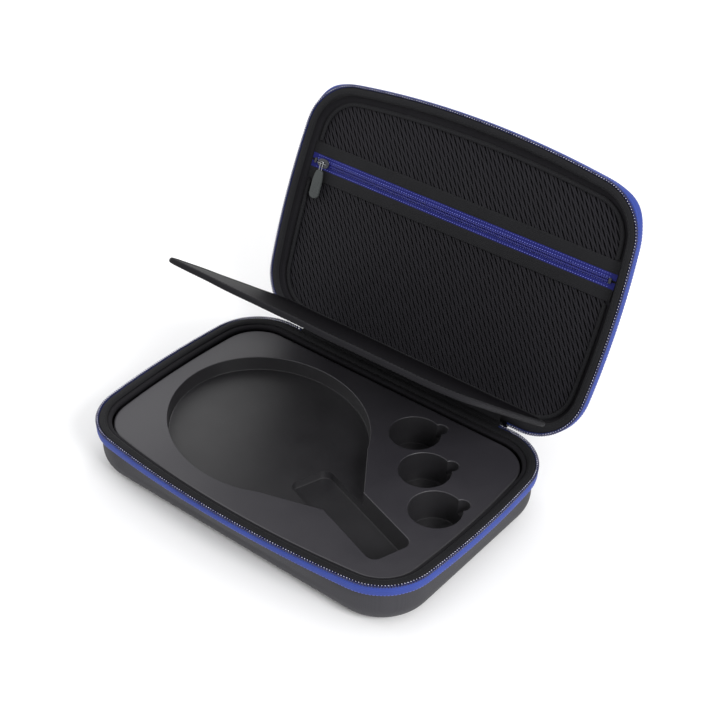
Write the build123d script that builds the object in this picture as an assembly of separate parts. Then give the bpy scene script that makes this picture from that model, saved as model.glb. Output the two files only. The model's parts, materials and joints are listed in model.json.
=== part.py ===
from build123d import *
import math
import os

# A zipped, moulded case for one table-tennis bat and three balls.
# The base stands on its flat bottom, +Z up, and the hinge edge is at +Y.
# The lid is built closed over the base, then turned back about the hinge to its rest angle.

# ---- driving dimensions, mm ----
LENGTH = 320.0              # rim outline, end to end
WIDTH = 216.0               # rim outline, hinge edge to the front's bow
CORNER_R = 45.5
FRONT_BOW = 8.0             # bulge of the rim's front edge
END_BOW = 2.5               # bulge of the rim's two ends
CLOSE_Z = 44.0              # plane where base and lid meet
CLOSE_GAP = 0.4             # each half stops this far from that plane
BASE_ROUND = 18.0           # rounding round the bottom
OVERHANG = 4.0              # the zipper stands this far out from the walls
WALL = 3.5
LINING = 1.0
SKIN_GAP = 0.05             # between nested curved skins
LID_BAND = 9.0              # straight height of the lid's wall
LID_DOME_IN = 40.0          # the lid's crown: how far in and how far up
LID_DOME_UP = 18.0
LID_OPEN = 113.0            # rest angle of the lid, degrees from closed

TAPE_THICK = 1.0            # zipper tape round the rim
TAPE_LOW = 9.5              # its lower edge, below the closing plane
TAPE_HIGH = 2.0
TEETH_WIDE = 2.2
TEETH_HIGH = 1.5
ZIP_END_X = 103.5           # the teeth end here on the hinge edge
STOP_LONG = 3.4             # the pressed stop beyond the last tooth
BINDING_IN = 9.0            # the padded rim binding reaches this far in
BINDING_LOW = 2.9

FOAM_TOP = 38.0
FOAM_INSET = 7.5            # from the shell's outer face to the foam
BLADE_CENTRE = (-43.8, 1.0)
BAT_TURN = -18.5            # the handle points this way from +X, degrees
BLADE_HALF = (88.0, 75.5)   # recess for the blade: along and across the bat
BLADE_DEEP = 13.0
HANDLE_REACH = 174.0        # recess for the handle, from the blade's centre
HANDLE_WIDE = 34.8
HANDLE_DEEP = 20.0
SHOULDER = ((52.0, 59.5), (110.0, 17.4))   # the recess narrows between these: along the bat, half its width
BALL_R = 20.3
BALL_DEEP = 26.5
BALL_FIRST = (117.1, 1.9)
BALL_STEP = (-32.3, 30.4)
NOTCH_R = 6.0               # finger notch beside each ball
NOTCH_AT = (12.4, 16.1)
NOTCH_DEEP = 13.0

HINGE_Y = 109.7
HINGE_Z = CLOSE_Z - 6.15
HINGE_TAPE_X = 100.0        # half length of the cloth hinge

MESH_REAR = -1.5            # the mesh window's long edges stand a little off an even inset
MESH_FRONT = 1.0
MESH_INSET = 15.0
MESH_Z = CLOSE_Z + 9.0
BORDER_INSET = 10.4         # outer edge of the padded border round the window
MESH_THICK = 0.8
ZIP_Y = -28.0               # pocket zipper, in the closed lid
ZIP_HALF = 147.0
POCKET_TAPE = 4.6           # width of each blue tape
POCKET_SLIT = 1.2           # gap between the two rows of teeth
POCKET_TEETH = (1.6, 1.7)   # width, height of each row
WEBBING = 9.0
SLIDER_X = -134.0

FLAP_THICK = 4.0
FLAP_BOARD = 1.6            # the stiffener between the two covers
FLAP_HALF_X = 133.0
FLAP_X = 15.0               # the flap hangs a little to the right
FLAP_DEEP = 190.0
FLAP_ANGLE = 38.8           # rest angle above level
FLAP_EDGE = 4.0             # width of its binding
FLAP_CORNER = 26.0
STRIP_Y = 110.5
STRIP_LONG = 15.0
STRIP_THICK = 0.8
STRIP_LEAN = 14.0           # rest lean of the strip, back from upright
FLAP_GAP = 1.8              # lets the panel fold past square on the strip


# ---- outlines and plain solids ----
def outline(inset=0.0, bow=1.0, rear_in=0.0, front_in=0.0):
    """The rim's closed outline moved in by inset; bow scales its bulges."""
    r = CORNER_R - inset
    cx = LENGTH / 2 - END_BOW - CORNER_R
    y_rear = WIDTH / 2 - CORNER_R - rear_in
    y_front = FRONT_BOW + CORNER_R - WIDTH / 2 + front_in
    corners = [Vector(cx, y_rear), Vector(-cx, y_rear), Vector(-cx, y_front), Vector(cx, y_front)]
    bulges = [0.0, END_BOW * bow, FRONT_BOW * bow, END_BOW * bow]
    sides = []
    for i, bulge in enumerate(bulges):
        a, b = corners[i], corners[(i + 1) % 4]
        along = (b - a).normalized()
        out = Vector(along.Y, -along.X)
        lean = 2 * math.atan(2 * bulge / (b - a).length)
        first = out * math.cos(lean) - along * math.sin(lean)
        last = out * math.cos(lean) + along * math.sin(lean)
        sides.append((a + first * r, (a + b) * 0.5 + out * (bulge + r), b + last * r, first, last))
    edges = []
    for i, (start, middle, end, _, last) in enumerate(sides):
        following = sides[(i + 1) % 4]
        side = ThreePointArc(start, middle, end) if bulges[i] > 0 else Line(start, end)
        turn = (last + following[3]).normalized()
        corner = ThreePointArc(end, corners[(i + 1) % 4] + turn * r, following[0])
        edges += [side, corner]
    return make_face(Wire(edges))


def plate(face, low, high):
    return extrude(Pos(0, 0, low) * face, amount=high - low, dir=(0, 0, 1))


def ring(outer, inner, low, high):
    return plate(outer, low, high) - plate(inner, low, high)


def stack(sections):
    """A solid through outlines given as (z, inset, bow)."""
    return loft([Pos(0, 0, z) * outline(inset, bow) for z, inset, bow in sections], ruled=True)


def block(x, y, z):
    """A box from its three (low, high) pairs."""
    size = [pair[1] - pair[0] for pair in (x, y, z)]
    middle = [(pair[1] + pair[0]) / 2 for pair in (x, y, z)]
    return Pos(*middle) * Box(*size)


def base_body(offset, top):
    """The base's form, offset mm inside its outer face, up to z = top."""
    radius = BASE_ROUND - offset
    sections = []
    for step in range(6):
        a = math.radians(18 * step)
        inset = OVERHANG + offset + radius * (1 - math.sin(a))
        sections.append((offset + radius * (1 - math.cos(a)), inset, 0.02))
    sections.append((CLOSE_Z - TAPE_LOW, OVERHANG + offset, 1.0))
    if top > CLOSE_Z - TAPE_LOW:
        sections.append((top, OVERHANG + offset, 1.0))
    return stack(sections)


def lid_body(offset, low):
    """The closed lid's form, offset mm inside its outer face, from z = low up."""
    sections = [(low, OVERHANG + offset, 1.0)]
    for step in range(7):
        a = math.radians(15 * step)
        inset = OVERHANG + offset + (LID_DOME_IN - offset) * (1 - math.cos(a))
        z = CLOSE_Z + LID_BAND + (LID_DOME_UP - offset) * math.sin(a)
        sections.append((z, inset, math.cos(a) * 0.7 + 0.3))
    return stack(sections)


def zipper_run(whole, end_x):
    """Keep what the zipper covers: all but the rear edge's stretch between -end_x and end_x."""
    return whole - block((-end_x, end_x), (60, 130), (0, 100))


def over(pieces):
    """The closed lid's copies of rim pieces: their mirror images in the closing plane."""
    return [mirror(piece, about=Plane.XY.offset(CLOSE_Z)) for piece in pieces]


# ---- rim pieces, made for the base and mirrored for the lid ----
def rim_tape():
    low, high = CLOSE_Z - TAPE_LOW, CLOSE_Z - TAPE_HIGH
    foot, head = OVERHANG - TAPE_THICK - SKIN_GAP, 0.9
    outer = stack([(low, foot, 1.0), (high, head, 1.0)])
    inner = stack([(low - 0.01, foot + TAPE_THICK, 1.0), (high + 0.01, head + TAPE_THICK, 1.0)])
    return zipper_run(outer - inner, ZIP_END_X - STOP_LONG)


def rim_teeth():
    high = CLOSE_Z - CLOSE_GAP
    return zipper_run(ring(outline(), outline(TEETH_WIDE), high - TEETH_HIGH, high), ZIP_END_X)


def rim_binding():
    low, high = CLOSE_Z - BINDING_LOW, CLOSE_Z - 0.7
    band = ring(outline(2.5), outline(BINDING_IN), low, high)
    return fillet(band.faces().sort_by(Axis.Z)[-1].edges(), 0.8)


def rim_stops():
    """A pressed metal stop on the tape at each end of the zipper."""
    stops = []
    for side in (-1, 1):
        x = side * (ZIP_END_X - STOP_LONG / 2)
        half = STOP_LONG / 2 - 0.2
        stops.append(block((x - half, x + half), (WIDTH / 2 - 0.85, WIDTH / 2),
                           (CLOSE_Z - 4.2, CLOSE_Z - CLOSE_GAP)))
    return stops


# ---- base ----
def base_shell():
    return base_body(0, CLOSE_Z - 3) - base_body(WALL, CLOSE_Z - 2.99)


def base_lining():
    outer = base_body(WALL + SKIN_GAP, CLOSE_Z - 3)
    return outer - base_body(WALL + SKIN_GAP + LINING, CLOSE_Z - 2.99)


def bat_frame():
    return Pos(*BLADE_CENTRE, FOAM_TOP) * Rot(0, 0, BAT_TURN)


def foam_insert():
    foam = base_body(FOAM_INSET, FOAM_TOP)
    blade = extrude(Ellipse(*BLADE_HALF), amount=-BLADE_DEEP)
    (near, wide), (far, narrow) = SHOULDER
    taper = Polygon((near, -wide), (far, -narrow), (far, narrow), (near, wide), align=None)
    shoulder = extrude(taper, amount=-BLADE_DEEP)
    handle = block((60, HANDLE_REACH), (-HANDLE_WIDE / 2, HANDLE_WIDE / 2), (-HANDLE_DEEP, 0))
    handle = fillet(handle.edges() | Axis.Z, 7)
    foam -= bat_frame() * (blade + shoulder + handle)
    for i in range(3):
        x = BALL_FIRST[0] + i * BALL_STEP[0]
        y = BALL_FIRST[1] + i * BALL_STEP[1]
        foam -= Pos(x, y, FOAM_TOP - BALL_DEEP / 2) * Cylinder(BALL_R, BALL_DEEP)
        notch = Pos(x + NOTCH_AT[0], y + NOTCH_AT[1], FOAM_TOP - NOTCH_DEEP / 2)
        foam -= notch * Cylinder(NOTCH_R, NOTCH_DEEP)
    return foam


def foam_base_pad():
    low = WALL + SKIN_GAP + LINING + 0.1
    return plate(outline(OVERHANG + BASE_ROUND + 1, 0.02), low, FOAM_INSET - 0.1)


def hinge_tape():
    """The cloth hinge's sewn edge on the base's rear wall."""
    y = WIDTH / 2 - OVERHANG + 0.1
    return block((-HINGE_TAPE_X, HINGE_TAPE_X), (y, y + 1.0), (26, CLOSE_Z - 3.2))


# ---- lid, as closed ----
def lid_shell():
    return lid_body(0, CLOSE_Z + 3) - lid_body(WALL, CLOSE_Z + 2.99)


def lid_lining():
    outer = lid_body(WALL + SKIN_GAP, CLOSE_Z + 3)
    return outer - lid_body(WALL + SKIN_GAP + LINING, CLOSE_Z + 2.99)


def mesh_window(grow=0.0):
    return outline(MESH_INSET - grow, 0.8, MESH_REAR, MESH_FRONT)


def pocket_border():
    """The padded lining round the mesh window."""
    return ring(outline(BORDER_INSET), mesh_window(), MESH_Z, MESH_Z + 2.4) - pocket_seat(0.2)


def pocket_binding():
    """The raised ridge that holds the mesh's edge down."""
    ridge = ring(mesh_window(2.0), mesh_window(-2.5), MESH_Z - 2.0, MESH_Z - 0.1)
    return ridge - pocket_seat(0.2)


def pocket_seat(clear):
    """The straight band across the mesh that the zipper and its webbing fill."""
    half = POCKET_SLIT / 2 + POCKET_TEETH[0] + POCKET_TAPE + WEBBING + clear
    return block((-ZIP_HALF - clear, ZIP_HALF + clear), (ZIP_Y - half, ZIP_Y + half),
                 (MESH_Z - 3, MESH_Z + 3))


def pocket_mesh(side):
    half = POCKET_SLIT / 2 + POCKET_TEETH[0] + POCKET_TAPE + 2
    whole = plate(mesh_window(-0.2), MESH_Z, MESH_Z + MESH_THICK)
    edge = ZIP_Y + side * half
    keep = (edge, edge + side * 300)
    return whole & block((-200, 200), (min(keep), max(keep)), (MESH_Z - 1, MESH_Z + 2))


def pocket_bar(side, near, wide, low, high, trim=0.0):
    """A straight bar beside the slit, from `near` out, on the lid's front or hinge side."""
    y = (ZIP_Y + side * near, ZIP_Y + side * (near + wide))
    return block((trim - ZIP_HALF, ZIP_HALF - trim), (min(y), max(y)), (low, high))


def pocket_teeth(side):
    wide, high = POCKET_TEETH
    return pocket_bar(side, POCKET_SLIT / 2, wide, MESH_Z - 0.9 - high, MESH_Z - 0.9, 6.0)


def pocket_tape(side):
    near = POCKET_SLIT / 2 + 0.2
    return pocket_bar(side, near, POCKET_TEETH[0] + POCKET_TAPE - 0.2, MESH_Z - 0.8, MESH_Z - 0.1)


def pocket_webbing(side):
    near = POCKET_SLIT / 2 + POCKET_TEETH[0] + POCKET_TAPE + 0.1
    return pocket_bar(side, near, WEBBING - 0.2, MESH_Z - 1.1, MESH_Z - 0.1)


def pocket_stops():
    stops = []
    for side in (-1, 1):
        x = side * (ZIP_HALF - 4.4)
        stops.append(block((x - 1.2, x + 1.2), (ZIP_Y - 2.2, ZIP_Y + 2.2), (MESH_Z - 2.4, MESH_Z - 0.9)))
    return stops


# ---- pocket slider and its pull, as closed ----
SLIDER_TOP = MESH_Z - 0.9 - POCKET_TEETH[1] - 0.2
CROWN_HIGH = 1.8
PULL_HIGH = 0.6             # the link's mid-plane above its slider's plate


def crown():
    """A slider's bridge for its pull, standing up from the origin along X."""
    whole = block((-4.4, 4.4), (-0.6, 0.6), (-0.1, CROWN_HIGH))
    return whole - block((-3.4, 3.4), (-2, 2), (0, CROWN_HIGH - 0.7))


def pocket_slider():
    """Front plate, neck through the slit, and a back plate behind the tapes."""
    x, y = SLIDER_X, ZIP_Y
    front = block((x - 5, x + 5), (y - 3.6, y + 3.6), (SLIDER_TOP - 1.2, SLIDER_TOP))
    front = fillet(front.edges() | Axis.Z, 1.6)
    back = block((x - 4, x + 4), (y - 3.0, y + 3.0), (MESH_Z + 0.2, MESH_Z + 1.2))
    neck = block((x - 2, x + 2), (y - 0.4, y + 0.4), (SLIDER_TOP - 0.1, MESH_Z + 0.3))
    arch = Pos(x, y, SLIDER_TOP - 1.2) * Rot(180, 0, 0) * crown()
    return front + back + neck + arch


def pull_link():
    """A flat wire link that hangs in -Y from a slider's crown at the origin."""
    frame = block((-1.5, 1.5), (-8.5, 1.5), (-0.4, 0.4))
    return frame - block((-0.9, 0.9), (-7.9, 0.9), (-1, 1))


def puller(length, wide, thick):
    """A moulded rubber tab below the link, with a slot that holds the link's end."""
    tab = block((-wide / 2, wide / 2), (-length, -6.0), (-thick / 2, thick / 2))
    tab = fillet(tab.edges() | Axis.Z, wide * 0.42)
    return tab - block((-1.7, 1.7), (-8.8, -5), (-0.6, 0.6))


def hang_in_lid(part):
    """A pull's place on the pocket slider: towards the hinge along the lid's inside."""
    level = SLIDER_TOP - 1.2 - PULL_HIGH
    return open_lid(Pos(SLIDER_X, ZIP_Y, level) * Rot(0, 0, 180) * part)


# ---- main slider, parked at the right end of the hinge edge ----
MAIN_X = 106.0
MAIN_Y = WIDTH / 2 + 0.4
MAIN_Z = CLOSE_Z - 7.2
MAIN_PLATE = 1.1


def main_slider():
    """Body that rides outside the tape, with a crown for its pull."""
    x, y, z = MAIN_X, MAIN_Y, MAIN_Z
    body = block((x - 5, x + 5), (y, y + MAIN_PLATE), (z - 3.4, z + 3.4))
    body = fillet(body.edges() | Axis.Y, 1.6)
    return body + Pos(x, y + MAIN_PLATE, z) * Rot(-90, 0, 0) * crown()


def hang_outside(part):
    """A pull's place on the main slider: straight down outside the rear wall."""
    return Pos(MAIN_X, MAIN_Y + MAIN_PLATE + PULL_HIGH, MAIN_Z) * Rot(90, 0, 0) * part


# ---- flap: strip and panel, made at their rest angles ----
def flap_outline(inset):
    """The panel's plan in the closed case: rear edge on the strip, kept inside the rim."""
    rear = STRIP_Y - STRIP_LONG - FLAP_GAP
    front = rear - FLAP_DEEP
    plan = Pos(FLAP_X, (rear + front) / 2) * RectangleRounded(2 * FLAP_HALF_X, FLAP_DEEP, 6)
    nose = Pos(FLAP_X, front + FLAP_DEEP / 2 + FLAP_CORNER) * RectangleRounded(
        2 * FLAP_HALF_X, FLAP_DEEP + 2 * FLAP_CORNER, FLAP_CORNER)
    plan = plan & nose & outline(BINDING_IN + 1.0)
    return offset(plan, -inset) if inset else plan


def flap_layer(inset, low, high, hole=None):
    whole = plate(flap_outline(inset), CLOSE_Z + low, CLOSE_Z + high)
    if hole is None:
        return whole
    return whole - plate(flap_outline(hole), CLOSE_Z + low, CLOSE_Z + high)


def open_strip(part):
    """From level, as closed, to the strip's rest lean."""
    axis = Axis((0, STRIP_Y, CLOSE_Z), (1, 0, 0))
    return part.rotate(axis, -(90 + STRIP_LEAN))


def open_flap(part):
    """From level, as closed, to the panel's rest place on the leaning strip."""
    lean = math.radians(STRIP_LEAN)
    rise = STRIP_LONG * math.cos(lean)
    back = STRIP_LONG * math.sin(lean)
    moved = Pos(0, STRIP_LONG + back, rise) * part
    axis = Axis((0, STRIP_Y + back, CLOSE_Z + rise), (1, 0, 0))
    return moved.rotate(axis, -FLAP_ANGLE)


def flap_hinge_strip():
    half = STRIP_THICK / 2
    return block((-98, 98), (STRIP_Y - STRIP_LONG, STRIP_Y), (CLOSE_Z - half, CLOSE_Z + half))


def open_lid(part):
    """From closed to the lid's rest angle."""
    return part.rotate(Axis((0, HINGE_Y, HINGE_Z), (1, 0, 0)), -LID_OPEN)


def save(name, shape, place=lambda part: part):
    """Write one node: a solid, or a list of separate solids, moved to its rest place."""
    solids = shape if isinstance(shape, list) else [shape]
    placed = [place(solid) for solid in solids]
    body = placed[0] if len(placed) == 1 else Compound(children=placed)
    export_step(body, f"parts/{name}.step")


def main():
    os.makedirs("parts", exist_ok=True)
    for name, pieces in (("zipper_tape", [rim_tape()]), ("zipper_teeth", [rim_teeth()]),
                         ("zipper_stops", rim_stops()), ("rim_binding", [rim_binding()]),
                         ("hinge_tape", [hinge_tape()])):
        save("base_" + name, pieces)
        save("lid_" + name, over(pieces), open_lid)

    save("base_shell", base_shell())
    save("base_lining", base_lining())
    save("foam_insert", foam_insert())
    save("foam_base_pad", foam_base_pad())

    save("lid_shell", lid_shell(), open_lid)
    save("lid_lining", lid_lining(), open_lid)
    save("pocket_border", pocket_border(), open_lid)
    save("pocket_binding", pocket_binding(), open_lid)
    for name, side in (("upper", -1), ("lower", 1)):
        save("pocket_mesh_" + name, pocket_mesh(side), open_lid)
        save("pocket_tape_" + name, pocket_tape(side), open_lid)
        save("pocket_teeth_" + name, pocket_teeth(side), open_lid)
        save("pocket_webbing_" + name, pocket_webbing(side), open_lid)
    save("pocket_zip_stops", pocket_stops(), open_lid)

    save("pocket_slider", pocket_slider(), open_lid)
    save("pocket_pull_link", pull_link(), hang_in_lid)
    save("pocket_puller", puller(31.0, 8.6, 2.6), hang_in_lid)

    save("main_slider", main_slider())
    save("main_pull_link", pull_link(), hang_outside)
    save("main_puller", puller(28.0, 8.0, 1.8), hang_outside)

    save("flap_hinge_strip", flap_hinge_strip(), open_strip)
    half, board = FLAP_THICK / 2, FLAP_BOARD / 2
    save("flap_board", flap_layer(FLAP_EDGE + 0.5, -board, board), open_flap)
    save("flap_cover_front", flap_layer(FLAP_EDGE, board + SKIN_GAP, half), open_flap)
    save("flap_cover_back", flap_layer(FLAP_EDGE, -half, -board - SKIN_GAP), open_flap)
    save("flap_binding", flap_layer(0, -half, half, FLAP_EDGE - SKIN_GAP), open_flap)


main()
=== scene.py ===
import json
import math

import bmesh
import bpy
import numpy as np
from mathutils import Matrix, Vector


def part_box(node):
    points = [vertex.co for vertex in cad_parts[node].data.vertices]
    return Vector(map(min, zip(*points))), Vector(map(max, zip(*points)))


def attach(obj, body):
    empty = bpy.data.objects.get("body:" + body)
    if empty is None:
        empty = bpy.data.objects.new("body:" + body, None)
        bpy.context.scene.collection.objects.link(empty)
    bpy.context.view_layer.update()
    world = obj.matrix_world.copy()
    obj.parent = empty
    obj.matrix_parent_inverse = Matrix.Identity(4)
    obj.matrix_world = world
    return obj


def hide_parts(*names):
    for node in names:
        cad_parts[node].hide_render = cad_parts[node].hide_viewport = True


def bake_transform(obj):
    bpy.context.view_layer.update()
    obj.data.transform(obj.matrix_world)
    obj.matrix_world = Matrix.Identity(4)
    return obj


# A zipped, moulded case for a table-tennis bat and three balls, standing open.
# Shapes are worked out in millimetres with the case closed and level, and `place` takes them to rest.

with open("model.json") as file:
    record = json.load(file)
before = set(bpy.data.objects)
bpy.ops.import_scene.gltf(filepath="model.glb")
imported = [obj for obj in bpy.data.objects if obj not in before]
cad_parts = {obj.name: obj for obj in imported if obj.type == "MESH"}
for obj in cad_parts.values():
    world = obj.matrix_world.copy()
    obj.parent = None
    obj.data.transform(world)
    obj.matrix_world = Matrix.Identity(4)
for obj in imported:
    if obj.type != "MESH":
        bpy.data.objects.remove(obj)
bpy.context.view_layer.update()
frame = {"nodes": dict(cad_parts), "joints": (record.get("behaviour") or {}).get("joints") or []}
nodes = frame["nodes"]
joints = {joint["name"]: joint for joint in frame["joints"]}

# ---- sizes, mm ----
MM = 0.001


def corners_of(node):
    return [np.round(np.array(corner) / MM, 2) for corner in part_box(node)]


_, TEETH_TOP = corners_of("base_zipper_teeth")
HALF_LONG = round(TEETH_TOP[0], 1)
HALF_WIDE = round(TEETH_TOP[1], 1)
CLOSE = TEETH_TOP[2] + 0.4           # plane where base and lid meet
CORNER = 45.5                        # corner radius of the rim
FRONT_BOW = 8.0
END_BOW = 2.5
BASE_ROUND = 18.0
OVERHANG = 4.0                       # from the rim's outline in to the walls
WALL = 3.5
LINING = 1.0
TAPE_LOW = 10.0
TAPE_RISE = 2.2                      # the tape is this much narrower along the front's middle
LID_BAND = 9.0
DOME_IN = 40.0
DOME_UP = 18.0
CROWN = 1.2                          # the lid's top rises this much more to its middle
FOAM_TOP = 38.0
MESH_Z = CLOSE + 9.0
MESH_INSET, MESH_REAR, MESH_FRONT = 15.0, -1.5, 1.0
ZIP_Y = -28.0
ZIP_HALF = 147.0
ZIP_END = 103.5
HINGE_X = 100.0
HINGE = np.array(joints["lid_hinge"]["pos_m"][1:]) / MM
OPEN = math.radians(joints["lid_hinge"]["range_deg"][1])
STRIP_FOOT = np.array(joints["flap_strip_hinge"]["pos_m"][1:]) / MM
STRIP_HEAD = np.array(joints["flap_hinge"]["pos_m"][1:]) / MM
FLAP_ANGLE = math.radians(38.8)
STRIP_LONG = 15.0
FLAP_GAP = 1.8


# ---- places ----
def turned(points, pivot, angle):
    """Points turned about the line along X through pivot (y, z)."""
    out = np.array(points, float)
    y, z = out[:, 1] - pivot[0], out[:, 2] - pivot[1]
    out[:, 1] = pivot[0] + y * math.cos(angle) - z * math.sin(angle)
    out[:, 2] = pivot[1] + y * math.sin(angle) + z * math.cos(angle)
    return out


def as_made(points):
    return np.array(points, float)


def opened(points):
    """The lid's pieces: from closed to rest."""
    return turned(points, HINGE, -OPEN)


def over(points):
    """Mirrored from the base's rim to the lid's, then opened."""
    points = np.array(points, float)
    points[:, 2] = 2 * CLOSE - points[:, 2]
    return opened(points)


# ---- plans ----
SIDE_STEPS = (64, 24, 64, 24)
TURN_STEPS = 20


def rim_line(bow=1.0, rear_in=0.0, front_in=0.0):
    """The rim's plan as a line one corner radius inside it, and the outward normals there."""
    x = HALF_LONG - END_BOW - CORNER
    rear = HALF_WIDE - CORNER - rear_in
    front = FRONT_BOW + CORNER - HALF_WIDE + front_in
    corners = np.array([(x, rear), (-x, rear), (-x, front), (x, front)])
    bulges = np.array([0.0, END_BOW, FRONT_BOW, END_BOW]) * bow
    spans = [np.linalg.norm(corners[(i + 1) % 4] - corners[i]) for i in range(4)]
    leans = [2 * math.atan(2 * bulges[i] / spans[i]) for i in range(4)]
    line, normals = [], []
    for i in range(4):
        a, b = corners[i], corners[(i + 1) % 4]
        facing = math.pi / 2 * (i + 1)
        share = np.linspace(0, 1, SIDE_STEPS[i], endpoint=False)
        angle = facing + leans[i] * (2 * share - 1)
        normal = np.column_stack([np.cos(angle), np.sin(angle)])
        points = a + (b - a) * share[:, None]
        if leans[i] > 1e-6:
            radius = spans[i] / 2 / math.sin(leans[i])
            out = np.array([math.cos(facing), math.sin(facing)])
            points = (a + b) / 2 - out * radius * math.cos(leans[i]) + normal * radius
        line.append(points)
        normals.append(normal)
        after = facing + math.pi / 2 - leans[(i + 1) % 4]
        angle = np.linspace(facing + leans[i], after, TURN_STEPS, endpoint=False)
        line.append(np.repeat(b[None], TURN_STEPS, 0))
        normals.append(np.column_stack([np.cos(angle), np.sin(angle)]))
    return np.concatenate(line), np.concatenate(normals)


def plan(inset, bow=1.0, rear_in=0.0, front_in=0.0):
    line, normals = rim_line(bow, rear_in, front_in)
    return line + normals * np.reshape(CORNER - np.array(inset, float), (-1, 1))


def ring(inset, z, bow=1.0, rear_in=0.0, front_in=0.0):
    """One closed row of points round the case. inset and z may vary round it."""
    flat = plan(inset, bow, rear_in, front_in)
    return np.column_stack([flat, np.broadcast_to(np.array(z, float), (len(flat),))])


def softened(row, amount):
    """A closed row with its corners rounded off; amount is in points."""
    turns = np.fft.fftfreq(len(row)) * 2 * math.pi
    keep = np.exp(-(turns * amount) ** 2 / 2)[:, None]
    return np.real(np.fft.ifft(np.fft.fft(row, axis=0) * keep, axis=0))


def arc_points(centre, radius, start, stop, count):
    angle = np.radians(np.linspace(start, stop, count))
    return np.column_stack([centre[0] + radius * np.cos(angle), centre[1] + radius * np.sin(angle)])


def smooth_line(points, count):
    """A Catmull-Rom line through points, with count points for each span."""
    points = np.array(points, float)
    ends = np.concatenate([[2 * points[0] - points[1]], points, [2 * points[-1] - points[-2]]])
    out = []
    for i in range(1, len(ends) - 2):
        a, b, c, d = ends[i - 1:i + 3]
        for t in np.linspace(0, 1, count, endpoint=False):
            out.append(0.5 * (2 * b + (c - a) * t + (2 * a - 5 * b + 4 * c - d) * t ** 2
                              + (3 * b - a - 3 * c + d) * t ** 3))
    return np.array(out + [points[-1]])


def unit(vectors):
    return vectors / np.linalg.norm(vectors, axis=1)[:, None]


def far_along(points):
    """How far along a line each of its points is."""
    return np.concatenate([[0], np.cumsum(np.linalg.norm(np.diff(points, axis=0), axis=1))])


def outward(outline):
    """Outward normals of a closed plan, counter-clockwise."""
    tangent = unit(np.roll(outline, -1, 0) - np.roll(outline, 1, 0))
    return np.column_stack([tangent[:, 1], -tangent[:, 0]])


def at_height(flat, z):
    """A plan's points at one height."""
    return np.column_stack([flat, np.full(len(flat), z)])


def spaced(points, step, closed=False):
    """Points at an even spacing of about step along a line."""
    points = np.array(points, float)
    if closed:
        points = np.concatenate([points, points[:1]])
    far = far_along(points)
    count = max(2, int(round(far[-1] / step)))
    at = np.linspace(0, far[-1], count, endpoint=False) if closed else np.linspace(0, far[-1], count + 1)
    return np.column_stack([np.interp(at, far, points[:, k]) for k in range(points.shape[1])])


# ---- meshes ----
def grid(rows, around=True, tube=False):
    """A quad grid through equal rows: (points, faces, flow), flow being mm along and across."""
    rows = np.array(rows, float)
    steps, count = rows.shape[:2]
    across, along = (steps if tube else steps - 1), (count if around else count - 1)
    j, i = np.meshgrid(np.arange(across), np.arange(along), indexing="ij")
    i2, j2 = (i + 1) % count, (j + 1) % steps
    faces = np.stack([j * count + i, j * count + i2, j2 * count + i2, j2 * count + i], -1).reshape(-1, 4)
    first = rows[0]
    u = np.concatenate([[0], np.cumsum(np.linalg.norm(np.roll(first, -1, 0) - first, axis=1))])
    gaps = np.linalg.norm(np.roll(rows, -1, 0) - rows, axis=2).mean(1)
    v = np.concatenate([[0], np.cumsum(gaps)])
    flow = np.stack([np.stack([u[i], v[j]], -1), np.stack([u[i + 1], v[j]], -1),
                     np.stack([u[i + 1], v[j + 1]], -1), np.stack([u[i], v[j + 1]], -1)], 2)
    return rows.reshape(-1, 3), faces.tolist(), flow.reshape(-1, 2)


def capped(rows):
    """A grid closed by a flat face at each end."""
    points, faces, flow = grid(rows)
    count = len(rows[0])
    last = len(points) - count
    faces += [list(range(count))[::-1], list(range(last, last + count))]
    flow = np.concatenate([flow, points[:count][::-1, :2], points[last:, :2]])
    return points, faces, flow


def end_capped(rows):
    """A flat tube through equal open rows, closed across both of the rows' ends."""
    points, faces, flow = grid(rows, around=False, tube=True)
    count = len(rows[0])
    for end in (0, count - 1):
        faces.append([k * count + end for k in range(len(rows))])
        flow = np.concatenate([flow, np.zeros((len(rows), 2))])
    return points, faces, flow


def joined(parts):
    """Several (points, faces, flow) as one."""
    points, faces, flow, start = [], [], [], 0
    for p, f, w in parts:
        points.append(p)
        faces += [[v + start for v in face] for face in f]
        flow.append(w)
        start += len(p)
    return np.concatenate(points), faces, np.concatenate(flow)


def build(name, part, material, place=as_made, crease=40):
    """A mesh object from (points, faces, flow)."""
    points, faces, flow = part
    mesh = bpy.data.meshes.new(name)
    mesh.from_pydata((place(points) * MM).tolist(), [], faces)
    mesh.uv_layers.new(name="flow").data.foreach_set("uv", np.ravel(flow).astype(np.float32))
    work = bmesh.new()
    work.from_mesh(mesh)
    bmesh.ops.recalc_face_normals(work, faces=work.faces)
    work.to_mesh(mesh)
    work.free()
    mesh.shade_smooth()
    mesh.set_sharp_from_angle(angle=math.radians(crease))
    mesh.materials.append(material)
    made = bpy.data.objects.new(name, mesh)
    bpy.context.scene.collection.objects.link(made)
    return made


def add(name, part, slot, body, place=as_made, stands_for=(), crease=40, material=None):
    """Build a piece, ride it on its body and hide the nodes it stands for."""
    made = build(name, part, material or MATERIALS[slot], place, crease)
    if body:
        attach(made, body)
    if stands_for:
        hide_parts(*stands_for)
    return made


def sew(name, part, body, place):
    """Dark stitches in the binding."""
    add(name, part, "binding", body, place, material=DARK_THREAD)


def frames_along(line, closed=False, up=(0, 0, 1)):
    """Tangent, side and up vectors at each point of a line."""
    if closed:
        tangent = np.roll(line, -1, 0) - np.roll(line, 1, 0)
    else:
        tangent = np.gradient(line, axis=0)
    tangent = unit(tangent)
    side = unit(np.cross(tangent, np.array(up, float)))
    return tangent, side, np.cross(side, tangent)


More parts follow.
